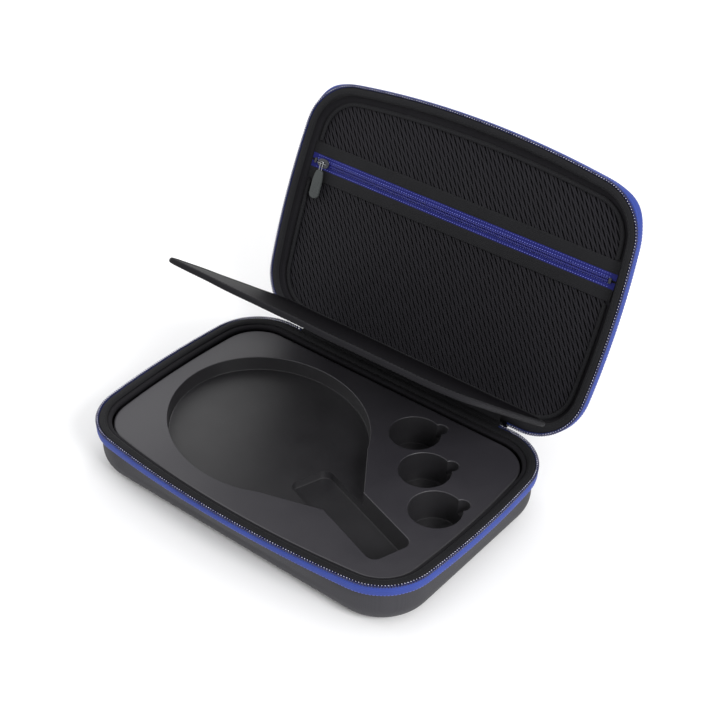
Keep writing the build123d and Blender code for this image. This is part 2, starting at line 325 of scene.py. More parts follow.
def section(half_wide, half_high, count, power=1.0):
    """A closed section, from an ellipse at power 1 towards a rounded box at less."""
    angle = np.linspace(0, 2 * math.pi, count, endpoint=False) + math.pi / count
    c, s = np.cos(angle), np.sin(angle)
    return np.column_stack([np.sign(c) * np.abs(c) ** power * half_wide,
                            np.sign(s) * np.abs(s) ** power * half_high])


def swept(line, shape, closed=False, up=(0, 0, 1)):
    """A tube of the given section along a line."""
    _, side, rise = frames_along(line, closed, up)
    wide, high = shape[None, :, 0, None], shape[None, :, 1, None]
    rows = line[:, None, :] + side[:, None, :] * wide + rise[:, None, :] * high
    points, faces, flow = grid(rows, tube=closed)
    flow = flow[:, ::-1]
    if closed:
        return points, faces, flow
    count, last = len(shape), len(points) - len(shape)
    faces += [list(range(count))[::-1], list(range(last, last + count))]
    return points, faces, np.concatenate([flow, np.zeros((2 * count, 2))])


def stitches(line, pitch, length, radius, closed=False, up=(0, 0, 1), slant=0.0):
    """Thread stitches along a line: short rounded grains, sunk at both ends. The same grains also make the
    pale painted glints on the coils.
    """
    marks = spaced(line, pitch, closed)
    tangent, side, rise = frames_along(marks, closed, up)
    tangent = tangent + side * slant
    profile = [(-1.0, 0.15, -1.0), (-0.7, 0.75, -0.25), (0.0, 1.0, 0.25), (0.7, 0.75, -0.25),
               (1.0, 0.15, -1.0)]
    angle = np.linspace(0, 2 * math.pi, 6, endpoint=False)
    parts = []
    for at, t, s, r in zip(marks, tangent, side, rise):
        rows = []
        for along, wide, lift in profile:
            middle = at + t * along * length / 2 + r * lift * radius
            rows.append(middle + radius * wide * (np.outer(np.cos(angle), s) + np.outer(np.sin(angle), r)))
        parts.append(grid(rows))
    return joined(parts)


def slab(outline, low, high, edge):
    """A plate with rounded edges from a closed convex plan, counter-clockwise."""
    outline = np.array(outline, float)
    normal = outward(outline)
    rows = []
    for k in range(5):
        a = math.pi / 8 * k
        rows.append((edge * (1 - math.sin(a)), low + edge * (1 - math.cos(a))))
    rows += [(inset, low + high - z) for inset, z in rows[::-1]]
    return capped([at_height(outline - normal * inset, z) for inset, z in rows])


def rounded_box(half_x, half_y, radius, count=6, centre=(0.0, 0.0)):
    """A rectangle's plan with round corners, counter-clockwise."""
    out = []
    for k, (sx, sy) in enumerate(((1, 1), (-1, 1), (-1, -1), (1, -1))):
        middle = (centre[0] + sx * (half_x - radius), centre[1] + sy * (half_y - radius))
        out.append(arc_points(middle, radius, 90 * k, 90 * k + 90, count))
    return np.concatenate(out)


# ---- materials ----
def srgb(*values):
    """8-bit display values to linear colour."""
    scaled = [v / 255 for v in values]
    return [v / 12.92 if v <= 0.04045 else ((v + 0.055) / 1.055) ** 2.4 for v in scaled] + [1.0]


def node(tree, kind, inputs=None, **settings):
    made = tree.nodes.new(kind)
    for key, value in settings.items():
        setattr(made, key, value)
    for key, value in (inputs or {}).items():
        if isinstance(value, bpy.types.NodeSocket):
            tree.links.new(value, made.inputs[key])
        else:
            made.inputs[key].default_value = value
    return made


def new_material(name, rough, metallic=0.0, specular=0.5, sheen=0.0, coat=0.0):
    made = bpy.data.materials.new(name)
    made.use_nodes = True
    tree = made.node_tree
    shader = tree.nodes["Principled BSDF"]
    for key, value in {"Roughness": rough, "Metallic": metallic, "Specular IOR Level": specular,
                       "Sheen Weight": sheen, "Sheen Roughness": 0.5, "Coat Weight": coat,
                       "Coat Roughness": 0.3}.items():
        shader.inputs[key].default_value = value
    return made, tree, shader


def paint(tree, shader, pattern, dark, light):
    """Base colour between dark and light by a pattern."""
    ramp = node(tree, "ShaderNodeMix", {0: pattern, 6: dark, 7: light}, data_type="RGBA")
    tree.links.new(ramp.outputs[2], shader.inputs["Base Color"])


def relief(tree, shader, patterns, depth=0.0001):
    """Stacked bumps: (pattern, strength) from the coarsest to the finest."""
    last = None
    for pattern, strength in patterns:
        inputs = {"Height": pattern, "Strength": strength, "Distance": depth}
        if last is not None:
            inputs["Normal"] = last
        last = node(tree, "ShaderNodeBump", inputs).outputs["Normal"]
    tree.links.new(last, shader.inputs["Normal"])


def uneven_gloss(tree, shader, pattern, low, high):
    """Roughness between low and high by a pattern."""
    uneven = node(tree, "ShaderNodeMapRange", {0: pattern, 1: 0.3, 2: 0.7, 3: low, 4: high})
    tree.links.new(uneven.outputs[0], shader.inputs["Roughness"])


def noise(tree, size, detail=3.0):
    """Noise with blobs about size metres across, in the piece's own coordinates."""
    place = node(tree, "ShaderNodeTexCoord").outputs["Object"]
    return node(tree, "ShaderNodeTexNoise", {"Vector": place, "Scale": 0.6 / size, "Detail": detail,
                                             "Roughness": 0.55}).outputs["Fac"]


def plain_weave(tree, pitch):
    """An over-and-under weave that lies on faces of any direction; 0 to 1."""
    place = node(tree, "ShaderNodeTexCoord").outputs["Object"]
    turns = (2 * math.pi / pitch,) * 3
    scaled = node(tree, "ShaderNodeVectorMath", {0: place, 1: turns}, operation="MULTIPLY")
    waves = node(tree, "ShaderNodeVectorMath", {0: scaled.outputs[0]}, operation="SINE").outputs[0]
    x, y, z = node(tree, "ShaderNodeSeparateXYZ", {0: waves}).outputs
    shifted = node(tree, "ShaderNodeCombineXYZ", {0: y, 1: z, 2: x})
    mixed = node(tree, "ShaderNodeVectorMath", {0: waves, 1: shifted.outputs[0]}, operation="DOT_PRODUCT")
    return node(tree, "ShaderNodeMapRange", {0: mixed.outputs["Value"], 1: -1.0, 2: 1.0}).outputs[0]


def ribs(tree, pitch, axis=0):
    """Ribs across a tape's length (axis 0) or along it (axis 1), from its flow in mm; 0 to 1."""
    flow = node(tree, "ShaderNodeUVMap", uv_map="flow").outputs["UV"]
    parts = node(tree, "ShaderNodeSeparateXYZ", {0: flow})
    turns = {0: parts.outputs[axis], 1: 2 * math.pi / pitch}
    turn = node(tree, "ShaderNodeMath", turns, operation="MULTIPLY")
    wave = node(tree, "ShaderNodeMath", {0: turn.outputs[0]}, operation="SINE")
    return node(tree, "ShaderNodeMapRange", {0: wave.outputs[0], 1: -1.0, 2: 1.0}).outputs[0]


def averaged(tree, a, b, share=0.5):
    return node(tree, "ShaderNodeMix", {0: share, 2: a, 3: b}, data_type="FLOAT").outputs[0]


def woven(name, dark, light, pitch, depth, rough=0.8, sheen=0.06, specular=0.25):
    """Plain-woven cloth with a little unevenness."""
    made, tree, shader = new_material(name, rough, specular=specular, sheen=sheen)
    weave, cloud, fuzz = plain_weave(tree, pitch), noise(tree, 0.03), noise(tree, pitch * 0.7, 2.0)
    paint(tree, shader, averaged(tree, averaged(tree, weave, fuzz), cloud, 0.4), dark, light)
    relief(tree, shader, [(weave, 0.6), (fuzz, 0.25)], depth)
    return made


def taped(name, dark, light, rib, rough=0.65, sheen=0.03, specular=0.15):
    """Narrow woven tape: ribs across, fainter lines along it."""
    made, tree, shader = new_material(name, rough, specular=specular, sheen=sheen)
    cross, long_ways, cloud = ribs(tree, rib), ribs(tree, 1.3, axis=1), noise(tree, 0.012)
    pattern = averaged(tree, averaged(tree, cross, long_ways, 0.4), cloud, 0.4)
    paint(tree, shader, pattern, dark, light)
    relief(tree, shader, [(cross, 0.7), (long_ways, 0.4), (noise(tree, 0.0004, 2.0), 0.2)], 0.0001)
    return made


def knitted(name, dark, light):
    """Smooth jersey: tiny columns of loops and a slow unevenness."""
    made, tree, shader = new_material(name, 0.75, specular=0.12, sheen=0.03)
    loops, cloud = plain_weave(tree, 0.0006), noise(tree, 0.02)
    paint(tree, shader, averaged(tree, loops, cloud, 0.6), dark, light)
    relief(tree, shader, [(cloud, 0.35), (loops, 0.35)], 0.00008)
    return made


def foamed(name, dark, light):
    """Closed-cell foam, cut smooth: fine cells and faint speckle."""
    made, tree, shader = new_material(name, 0.5, specular=0.9)
    place = node(tree, "ShaderNodeTexCoord").outputs["Object"]
    cells = node(tree, "ShaderNodeTexVoronoi", {"Vector": place, "Scale": 1400.0}).outputs["Distance"]
    cloud, grain = noise(tree, 0.03), noise(tree, 0.0005, 2.0)
    paint(tree, shader, averaged(tree, averaged(tree, cells, grain), cloud, 0.5), dark, light)
    relief(tree, shader, [(cloud, 0.1), (cells, 0.35), (grain, 0.2)], 0.0001)
    uneven_gloss(tree, shader, cloud, 0.45, 0.56)
    return made


def moulded(name, dark, light, rough, metallic=0.0, grain=0.0003, coat=0.0, specular=0.5, bump=0.15):
    """Moulded or cast stuff: colour, gloss and surface vary a little."""
    made, tree, shader = new_material(name, rough, metallic=metallic, coat=coat, specular=specular)
    cloud, fine = noise(tree, 0.004), noise(tree, grain, 3.0)
    paint(tree, shader, averaged(tree, cloud, fine), dark, light)
    relief(tree, shader, [(cloud, bump), (fine, bump)], 0.00006)
    uneven_gloss(tree, shader, fine, rough * 0.8, min(1.0, rough * 1.25))
    return made


# Thread, and the pale painted glints on the rim's coils.
def thread_and_glint_material(name, dark, light, specular=0.5):
    return moulded(name, dark, light, 0.6, grain=0.0002, bump=0.3, specular=specular)


MATERIALS = {
    "shell_fabric": woven("shell_fabric", srgb(43, 43, 46), srgb(62, 61, 66), 0.0009, depth=0.0001),
    "lining": knitted("lining", srgb(18, 17, 20), srgb(32, 31, 35)),
    "foam": foamed("foam", srgb(37, 36, 41), srgb(54, 52, 58)),
    "zipper_tape": taped("zipper_tape", srgb(24, 36, 102), srgb(54, 78, 164), 0.7, specular=0.3),
    "zipper_teeth": moulded("zipper_teeth", srgb(13, 14, 48), srgb(28, 31, 88), 0.35, coat=0.3),
    "binding": taped("binding", srgb(15, 15, 17), srgb(32, 32, 35), 0.8, rough=0.7),
    "mesh": moulded("mesh", srgb(19, 18, 21), srgb(37, 36, 41), 0.7, grain=0.0004, bump=0.3, specular=0.2),
    "flap_fabric": woven("flap_fabric", srgb(10, 9, 11), srgb(19, 18, 21), 0.0008, rough=0.5, sheen=0.0,
                         specular=0.045, depth=0.00003),
    "board": moulded("board", srgb(60, 58, 54), srgb(80, 78, 72), 0.8),
    "zip_metal": moulded("zip_metal", srgb(150, 152, 156), srgb(200, 202, 206), 0.28, metallic=1.0),
    "slider_metal": moulded("slider_metal", srgb(20, 21, 28), srgb(36, 38, 48), 0.35, coat=0.4),
    "pull_rubber": moulded("pull_rubber", srgb(50, 53, 53), srgb(72, 76, 76), 0.6, grain=0.0005, bump=0.4,
                           specular=0.3),
}
# Darker foam for the recesses' walls and floors: painted shade for the shadow deep in the pockets.
RECESS_SHADE_FOAM = foamed("foam_painted_recess_shade", srgb(22, 21, 24), srgb(34, 33, 37))
FLAP_EDGE = taped("flap_edge", srgb(15, 15, 17), srgb(31, 30, 34), 0.8, sheen=0.0, specular=0.1)
POCKET_COIL = moulded("pocket_coil", srgb(22, 24, 88), srgb(44, 48, 140), 0.4, coat=0.2)
# The pocket's tape is the rim's blue tape made darker: painted shade for the shadow inside the lid.
POCKET_TAPE_IN_SHADE = taped("pocket_tape", srgb(17, 19, 72), srgb(38, 42, 124), 0.7)
# Near-white ticks: painted glints on the coils' teeth.
PAINTED_GLINT = thread_and_glint_material("painted_glint_pale", srgb(196, 196, 220), srgb(244, 244, 252))
BLUE_THREAD = thread_and_glint_material("blue_thread", srgb(70, 78, 170), srgb(128, 136, 210))
DARK_THREAD = thread_and_glint_material("dark_thread", srgb(20, 20, 22), srgb(42, 42, 45), specular=0.2)


# ---- shells and linings ----
def base_rows(offset, top):
    """Rows up the base's form, offset mm inside its outer face."""
    radius = BASE_ROUND - offset
    rows = []
    for a in np.radians(np.linspace(0, 90, 13)):
        inset = OVERHANG + offset + radius * (1 - math.sin(a))
        rows.append(ring(inset, offset + radius * (1 - math.cos(a)), 0.02))
    for share in np.linspace(0, 1, 7)[1:]:
        z = BASE_ROUND + (CLOSE - TAPE_LOW - BASE_ROUND) * share
        rows.append(ring(OVERHANG + offset, z, 0.02 + 0.98 * share))
    rows.append(ring(OVERHANG + offset, top))
    return rows


def lid_rows(offset, low):
    """Rows up the closed lid's form, from its rim to a narrow ring at the crown."""
    rows = [ring(OVERHANG + offset, low)]
    for a in np.radians(np.linspace(0, 90, 16)):
        inset = OVERHANG + offset + (DOME_IN - offset) * (1 - math.cos(a))
        z = CLOSE + LID_BAND + (DOME_UP - offset) * math.sin(a)
        row = ring(inset, z, math.cos(a) * 0.7 + 0.3)
        rows.append(softened(row, 7 * math.sin(a) ** 3))
    top = rows[-1]
    middle = np.column_stack([np.clip(top[:, 0], -60, 60), np.full(len(top), 4.0), top[:, 2]])
    for share in np.linspace(0, 0.97, 9)[1:]:
        row = top + (middle - top) * share
        row[:, 2] += CROWN * share ** 2 * (3 - 2 * share)
        rows.append(row)
    return rows


def shells():
    outer, inner = base_rows(0, CLOSE - 3.2), base_rows(WALL, CLOSE - 3.2)
    lip = [ring(OVERHANG + 0.4, CLOSE - 2.9), ring(OVERHANG + WALL - 0.4, CLOSE - 2.9)]
    add("base_shell_skin", capped(outer + lip + inner[::-1]), "shell_fabric", "base", as_made, ["base_shell"])
    outer, inner = lid_rows(0, CLOSE + 3.2), lid_rows(WALL, CLOSE + 3.2)
    lip = [ring(OVERHANG + WALL - 0.4, CLOSE + 2.9), ring(OVERHANG + 0.4, CLOSE + 2.9)]
    add("lid_shell_skin", capped(inner[::-1] + lip + outer), "shell_fabric", "lid", opened, ["lid_shell"])


RIDGE = [(7.6, 39.6), (8.3, 40.6), (9.6, 41.05), (11.0, 41.0), (12.1, 40.4), (12.5, 39.4), (12.2, 38.2),
         (11.3, 37.8), (9.9, 38.3), (8.9, 37.6)]


def linings():
    """The base's lining rolls over into a ridge beside the binding; the lid's runs behind the mesh."""
    outer, inner = base_rows(WALL + 0.05, 37.0), base_rows(WALL + 0.05 + LINING, 36.0)
    ridge = [ring(inset, z) for inset, z in smooth_line(RIDGE, 3)]
    add("base_lining_skin", capped(outer + ridge + inner[::-1]), "lining", "base", stands_for=["base_lining"])
    outer, inner = lid_rows(WALL + 0.05, CLOSE + 3.0), lid_rows(WALL + 0.05 + LINING, CLOSE + 3.0)
    add("lid_lining_skin", capped(inner[::-1] + outer), "lining", "lid", opened, ["lid_lining"])


# ---- the rim's zipper and binding ----
ENDS = (("left", -1), ("right", 1))
BINDING = [(2.7, 41.15), (2.5, 41.9), (2.75, 42.7), (3.5, 43.2), (4.9, 43.42), (6.4, 43.3), (7.7, 42.85),
           (8.6, 42.15), (8.95, 41.5), (8.4, 41.15)]


def front_share():
    """For each point of a ring, how far it is into the front's long middle, 0 to 1."""
    share = np.zeros(sum(SIDE_STEPS) + 4 * TURN_STEPS)
    start = SIDE_STEPS[0] + SIDE_STEPS[1] + 2 * TURN_STEPS
    share[start:start + SIDE_STEPS[2]] = np.sin(np.linspace(0, math.pi, SIDE_STEPS[2])) ** 0.8
    return share


def zip_run(row, end_x):
    """The stretch of a ring that the zipper covers, in order, from one end of the hinge edge to the other."""
    cut = (np.abs(row[:, 0]) < end_x) & (row[:, 1] > 60)
    start = np.nonzero(cut & ~np.roll(cut, -1))[0][0] + 1
    turned_row = np.roll(row, -start, 0)
    keep = ~np.roll(cut, -start)
    run = turned_row[keep]
    first, last = run[0].copy(), run[-1].copy()
    first[0], last[0] = math.copysign(end_x, first[0]), math.copysign(end_x, last[0])
    return np.concatenate([[first], run, [last]])


TAPE = [(3.2, 0.0), (1.7, 0.02), (0.75, 0.1), (0.35, 0.3), (0.3, 0.55), (0.6, 0.82), (1.3, 1.0), (2.2, 1.03),
        (2.6, 0.9), (3.9, 0.6), (3.95, 0.08)]
LID_FLARE = 3.0                      # the lid's tape bulges this much more at its front corners


def flared(inset, flare):
    """An inset, less where the tape bulges out: only its outer face, and most at the two front corners."""
    _, normals = rim_line()
    corner = (2 * normals[:, 0] * normals[:, 1]) ** 4 * (normals[:, 1] < 0)
    return inset - flare * corner * min(1.0, max(0.0, (1.7 - inset) / 1.4))


def tape_solid(flare):
    """The blue tape: it bellies out from the wall and ends under the teeth."""
    low, high = CLOSE - TAPE_LOW + TAPE_RISE * front_share(), CLOSE - 1.9
    rows = [ring(flared(inset, flare), low + (high - low) * share) for inset, share in TAPE]
    trimmed = [spaced(zip_run(row, ZIP_END - 3.4), 3.0) for row in rows]
    count = min(len(row) for row in trimmed)
    return end_capped([evened(row, count) for row in trimmed])


def evened(line, count):
    far = far_along(line)
    at = np.linspace(0, far[-1], count)
    return np.column_stack([np.interp(at, far, line[:, k]) for k in range(3)])


def coil(line, pitch, half_wide, half_high, wire):
    """A nylon coil wound along a line, with its cord inside."""
    turns = 9                        # points in one turn
    line = spaced(line, pitch / turns)
    _, side, rise = frames_along(line)
    angle = 2 * math.pi * np.arange(len(line)) / turns
    path = line + side * (half_wide * np.cos(angle))[:, None] + rise * (half_high * np.sin(angle))[:, None]
    core = swept(line[::turns], section(half_wide * 0.55, half_high * 0.5, 6))
    return joined([swept(path, section(wire, wire, 5)), core])


def rims():
    lower_edge = CLOSE - TAPE_LOW + TAPE_RISE * front_share()
    for side, body, place, flare in (("base", "base", as_made, 0.0), ("lid", "lid", over, LID_FLARE)):
        add(f"{side}_tape", tape_solid(flare), "zipper_tape", body, place, [f"{side}_zipper_tape"])
        path = zip_run(ring(1.15, CLOSE - 1.2), ZIP_END)
        add(f"{side}_coil", coil(path, 2.0, 1.0, 0.66, wire=0.36), "zipper_teeth", body, place,
            [f"{side}_zipper_teeth"])
        # Pale ticks along the coil's top: painted glints, standing for light caught on the teeth.
        path = zip_run(ring(1.5, CLOSE - 0.5), ZIP_END)
        painted_glint_marks = stitches(path, pitch=2.3, length=0.85, radius=0.29, slant=0.4)
        add(f"{side}_coil_painted_glint_marks", painted_glint_marks, "zipper_teeth", body, place, material=PAINTED_GLINT)
        path = zip_run(ring(flared(0.72, flare), lower_edge + 0.75), HINGE_X + 1.2)
        add(f"{side}_tape_stitches", stitches(path, pitch=2.6, length=1.9, radius=0.17), "zipper_tape", body,
            place, material=BLUE_THREAD)
        line = smooth_line(BINDING, 2)
        pucker = 0.06 * np.sin(np.arange(256) * 2 * math.pi / 4)
        rows = [ring(inset, z + pucker * (z > 42.6)) for inset, z in line]
        add(f"{side}_binding", grid(rows, tube=True), "binding", body, place, [f"{side}_rim_binding"])
        seam = stitches(ring(6.9, 43.2), closed=True, pitch=3.2, length=2.3, radius=0.22)
        sew(f"{side}_binding_stitches", seam, body, place)
        for end, x in ENDS:
            middle = x * (ZIP_END - 1.7)
            stop = slab(rounded_box(1.5, 1.9, 0.5, centre=(middle, CLOSE - 2.3)), 107.15, 108.0, 0.3)
            points = np.column_stack([stop[0][:, 0], stop[0][:, 2], stop[0][:, 1]])
            stands = [f"{side}_zipper_stops"] if x > 0 else []
            add(f"{side}_stop_{end}", (points, stop[1], stop[2]), "zip_metal", body, place, stands)


# ---- foam tray ----
BLADE_CENTRE = (-43.8, 1.0)
BAT_TURN = math.radians(-18.5)
BLADE_LONG, BLADE_WIDE, BLADE_DEEP = 88.0, 75.5, 13.0
SHOULDER = ((52.0, 59.5), (110.0, 17.4))   # the recess narrows between these: along the bat, half its width
HANDLE_DEEP = 20.0
BALL_FIRST, BALL_STEP = np.array([117.1, 1.9]), np.array([-32.3, 30.4])
BALL_R, BALL_DEEP = 20.3, 26.5
NOTCH_AT, NOTCH_R, NOTCH_DEEP = (12.4, 16.1), 6.0, 13.0
FOAM_IN = 13.4                       # from the rim's outline in to the foam's side


def bat_plan(points):
    """From the bat's own axes to the case's."""
    c, s = math.cos(BAT_TURN), math.sin(BAT_TURN)
    points = np.array(points, float)
    return points @ np.array([[c, s], [-s, c]]) + np.array(BLADE_CENTRE)


def cutter(name, outline, depth):
    """What one recess takes away: upright sides, a rounded lip at the top and a small radius below."""
    normal = outward(outline)
    lip = 0.6
    rows = [(-1.2, FOAM_TOP - depth), (-0.35, FOAM_TOP - depth + 0.35), (0.0, FOAM_TOP - depth + 1.2)]
    for a in np.radians(np.linspace(0, 90, 6)):
        rows.append((lip * (1 - math.cos(a)), FOAM_TOP - lip + lip * math.sin(a)))
    rows.append((lip, FOAM_TOP + 3))
    part = capped([at_height(outline + normal * grow, z) for grow, z in rows])
    return build(name, part, MATERIALS["foam"])


def blade_outline():
    """The blade's recess in the bat's axes: an ellipse that runs out to the handle in straight shoulders."""
    (near, wide), (far, narrow) = SHOULDER
    slope = (wide - narrow) / (far - near)
    angle = np.linspace(-math.pi, math.pi, 720, endpoint=False)
    reach = 1 / np.hypot(np.cos(angle) / BLADE_LONG, np.sin(angle) / BLADE_WIDE)
    ahead = np.abs(angle) < math.atan2(wide, near)
    c, s = np.cos(angle[ahead]), np.abs(np.sin(angle[ahead]))
    reach[ahead] = np.maximum(reach[ahead], np.minimum((wide + slope * near) / (s + slope * c), far / c))
    return spaced(np.column_stack([reach * np.cos(angle), reach * np.sin(angle)]), 2.5, closed=True)


def foam_tray():
    rows = []
    for a in np.radians(np.linspace(0, 90, 7)):
        rows.append(ring(FOAM_IN + 9 * (1 - math.sin(a)), 7.7 + 9 * (1 - math.cos(a)), 0.5))
    rows.append(ring(FOAM_IN, 30.0))
    for a in np.radians(np.linspace(0, 90, 7)):
        rows.append(ring(FOAM_IN + 2.2 * (1 - math.cos(a)), FOAM_TOP - 2.2 * (1 - math.sin(a))))
    tray = build("foam_tray", capped(rows), MATERIALS["foam"])
    handle = rounded_box(57, SHOULDER[1][1], 7, centre=(117, 0))
    outlines = [(bat_plan(blade_outline()), BLADE_DEEP), (bat_plan(handle), HANDLE_DEEP)]
    for i in range(3):
        x, y = BALL_FIRST + BALL_STEP * i
        outlines.append((arc_points((x, y), BALL_R, 0, 352.5, 48), BALL_DEEP))
        notch = (x + NOTCH_AT[0], y + NOTCH_AT[1])
        outlines.append((arc_points(notch, NOTCH_R, 0, 345, 24), NOTCH_DEEP))
    for k, (outline, depth) in enumerate(outlines):
        tool = cutter(f"cutter_{k}", outline, depth)
        cut = tray.modifiers.new("cut", "BOOLEAN")
        cut.operation, cut.solver, cut.object = "DIFFERENCE", "EXACT", tool
        bpy.context.view_layer.objects.active = tray
        bpy.ops.object.modifier_apply(modifier=cut.name)
        bpy.data.objects.remove(tool)
    tray.data.materials.clear()
    tray.data.materials.append(MATERIALS["foam"])
    # The second finish is the darker foam, on every face lower than 2.5 mm under the foam's top: painted
    # shade in the recesses.
    tray.data.materials.append(RECESS_SHADE_FOAM)
    for face in tray.data.polygons:
        face.material_index = int(face.center.z < (FOAM_TOP - 2.5) * MM)
    tray.data.shade_smooth()
    tray.data.set_sharp_from_angle(angle=math.radians(38))
    even = tray.modifiers.new("even_shading", "WEIGHTED_NORMAL")
    even.keep_sharp = True
    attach(tray, "base")
    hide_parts("foam_insert")


# ---- lid's mesh pocket ----
POCKET_HALF = 6.8                    # from the zipper's middle to the tapes' outer edges
WEBBING = 9.0
PANELS = (("upper", -1), ("lower", 1))
MESH_THICK = 0.8
BORDER = [(8.7, 47.4), (8.75, 49.0), (9.1, 50.9), (10.2, 52.2), (11.8, 52.75), (13.4, 52.9)]


def window(inset, z):
    """A row round the mesh window; inset is from the rim's outline, as elsewhere."""
    return ring(inset, z, 0.8, MESH_REAR, MESH_FRONT)


def window_runs(inset, z, gap):
    """The window's row in two runs, one each side of the pocket's zipper band."""
    row = window(inset, z)
    runs = []
    for keep in (row[:, 1] < ZIP_Y - gap, row[:, 1] > ZIP_Y + gap):
        start = np.nonzero(keep & ~np.roll(keep, 1))[0][0]
        runs.append(np.roll(row, -start, 0)[np.roll(keep, -start)])
    return runs


def inside(points, outline):
    """Which points lie inside a closed plan."""
    a, b = outline, np.roll(outline, -1, 0)
    x, y = points[:, None, 0], points[:, None, 1]
    crosses = (a[None, :, 1] > y) != (b[None, :, 1] > y)
    rise = b[:, 1] - a[:, 1]
    rise = np.where(np.abs(rise) < 1e-9, 1e-9, rise)
    at = a[:, 0] + (y - a[:, 1]) / rise * (b[:, 0] - a[:, 0])
    return (crosses & (x < at)).sum(1) % 2 == 1


STRAND_GAP, CELL = 2.15, 17.0        # strands' spacing and the length of one wave
BIAS = math.radians(38)              # the knit runs on the bias across the lid


def net(side):
    """Knitted net: wavy strands on the bias that meet their neighbours at each crest."""
    outline = window(MESH_INSET - 0.4, 0.0)[:, :2]
    band = POCKET_HALF + 2.0
    reach = HALF_LONG + HALF_WIDE
    along = np.array([math.sin(BIAS), math.cos(BIAS)])
    across = np.array([along[1], -along[0]])
    far = np.arange(-reach, reach, CELL / 20)
    shape = section(0.72, 0.22, 4, 0.2)
    parts = []
    for k, offset in enumerate(np.arange(-reach, reach, STRAND_GAP)):
        wave = np.sin(2 * math.pi * far / CELL + (math.pi + 0.35) * k + 0.5 * math.sin(offset / 9.0))
        flat = np.outer(far, along) + np.outer(offset + 0.15 * STRAND_GAP * wave, across)
        keep = inside(flat, outline) & (side * (flat[:, 1] - ZIP_Y) > band)
        if keep.sum() < 6:
            continue
        flat, wave = flat[keep], wave[keep]
        sag = 0.25 * np.sin(flat[:, 0] / 23.0 + 1.0) * np.sin(flat[:, 1] / 17.0) + 0.06 * wave * (-1) ** k
        parts.append(swept(np.column_stack([flat, MESH_Z + 0.35 + sag]), shape))
    return joined(parts)


def mesh_pocket():
    border = []
    for inset, z in smooth_line(BORDER, 3):
        share = min(1.0, max(0.0, (inset - 8.7) / 4.7))
        border.append(ring(inset, z, 1.0 - 0.2 * share, MESH_REAR * share, MESH_FRONT * share))
    border += [window(MESH_INSET + 0.6, 53.0), window(MESH_INSET + 0.6, 55.2), window(13.4, 55.4)]
    border += [ring(11.2, 55.0), ring(9.6, 53.0), ring(8.9, 50.0), ring(8.85, 47.4)]
    add("pocket_border_pad", grid(border, tube=True), "lining", "lid", opened, ["pocket_border"])
    gap = POCKET_HALF + WEBBING + 0.2
    ridge = [swept(run, section(1.7, 1.0, 12, 0.8)) for run in window_runs(MESH_INSET + 0.1, 51.9, gap)]
    add("pocket_ridge", joined(ridge), "binding", "lid", opened, ["pocket_binding"])
    seams = [stitches(run, pitch=3.0, length=2.1, radius=0.2, up=(0, 0, -1))
             for run in window_runs(MESH_INSET + 0.1, 50.95, gap)]
    sew("pocket_ridge_stitches", joined(seams), "lid", opened)
    for name, side in PANELS:
        panel = add(f"mesh_{name}", net(side), "mesh", "lid", opened, [f"pocket_mesh_{name}"], crease=70)
        area = mesh_volume(nodes[f"pocket_mesh_{name}"].data) / (MESH_THICK * MM)


def mesh_volume(mesh):
    work = bmesh.new()
    work.from_mesh(mesh)
    volume = abs(work.calc_volume())
    work.free()
    return volume


def bar(y, z, half_wide, half_high, half_x, wave):
    """A flat straight band along X, in the closed lid."""
    x = np.arange(-half_x, half_x + 2.0, 4.0)
    x[-1] = half_x
    line = np.column_stack([x, np.full(len(x), y), z + wave * np.sin(x / 9.0) * np.sin(x / 31.0)])
    return swept(line, section(half_wide, half_high, 12, 0.35))


SEAMS = {"upper": ((2.35, 0.34), (4.8, 0.2)), "lower": ((2.5, 0.2), (4.9, 0.27))}   # off the middle; thread


def across_lid(half_x, y, z):
    return np.column_stack([[-half_x, half_x], [y] * 2, [z] * 2])


def pocket_zipper():
    half_x = ZIP_HALF - 6.0
    for name, side in PANELS:
        # Its material is the darker tape, painted shade inside the lid.
        tape = bar(ZIP_Y + side * 3.85, MESH_Z - 0.45, 2.95, 0.36, ZIP_HALF, wave=0.05)
        add(f"pocket_tape_{name}_band", tape, "zipper_tape", "lid", opened, [f"pocket_tape_{name}"],
            material=POCKET_TAPE_IN_SHADE)
        coil_line = across_lid(half_x, ZIP_Y + side * 1.05, MESH_Z - 1.75)
        add(f"pocket_coil_{name}", coil(coil_line, 1.6, 0.95, 0.7, wire=0.3), "zipper_teeth", "lid", opened,
            [f"pocket_teeth_{name}"], material=POCKET_COIL)
        for row, (away, thread) in enumerate(SEAMS[name]):
            line = across_lid(half_x, ZIP_Y + side * away, MESH_Z - 0.9)
            seam = stitches(line, pitch=2.3, length=1.4, radius=thread, up=(0, 0, -1))
            add(f"pocket_{name}_seam_{row}", seam, "zipper_tape", "lid", opened, material=BLUE_THREAD)
        middle = ZIP_Y + side * (POCKET_HALF + WEBBING / 2 - 0.5)
        strap = bar(middle, MESH_Z - 0.66, WEBBING / 2 + 0.4, 0.5, ZIP_HALF, wave=0.12)
        add(f"pocket_webbing_{name}_band", strap, "binding", "lid", opened, [f"pocket_webbing_{name}"])
        for row, away in enumerate((POCKET_HALF + 1.2, POCKET_HALF + WEBBING - 1.2)):
            line = across_lid(half_x + 4, ZIP_Y + side * away, MESH_Z - 1.12)
            seam = stitches(line, pitch=3.0, length=2.2, radius=0.18, up=(0, 0, -1))
            sew(f"pocket_webbing_{name}_seam_{row}", seam, "lid", opened)
    for end, x in ENDS:
        outline = rounded_box(1.2, 2.2, 0.5, centre=(x * (ZIP_HALF - 4.4), ZIP_Y))
        plate = slab(outline, MESH_Z - 2.4, MESH_Z - 0.9, 0.35)
        add(f"pocket_stop_{end}", plate, "zip_metal", "lid", opened, ["pocket_zip_stops"] if x > 0 else [],
            material=MATERIALS["slider_metal"])


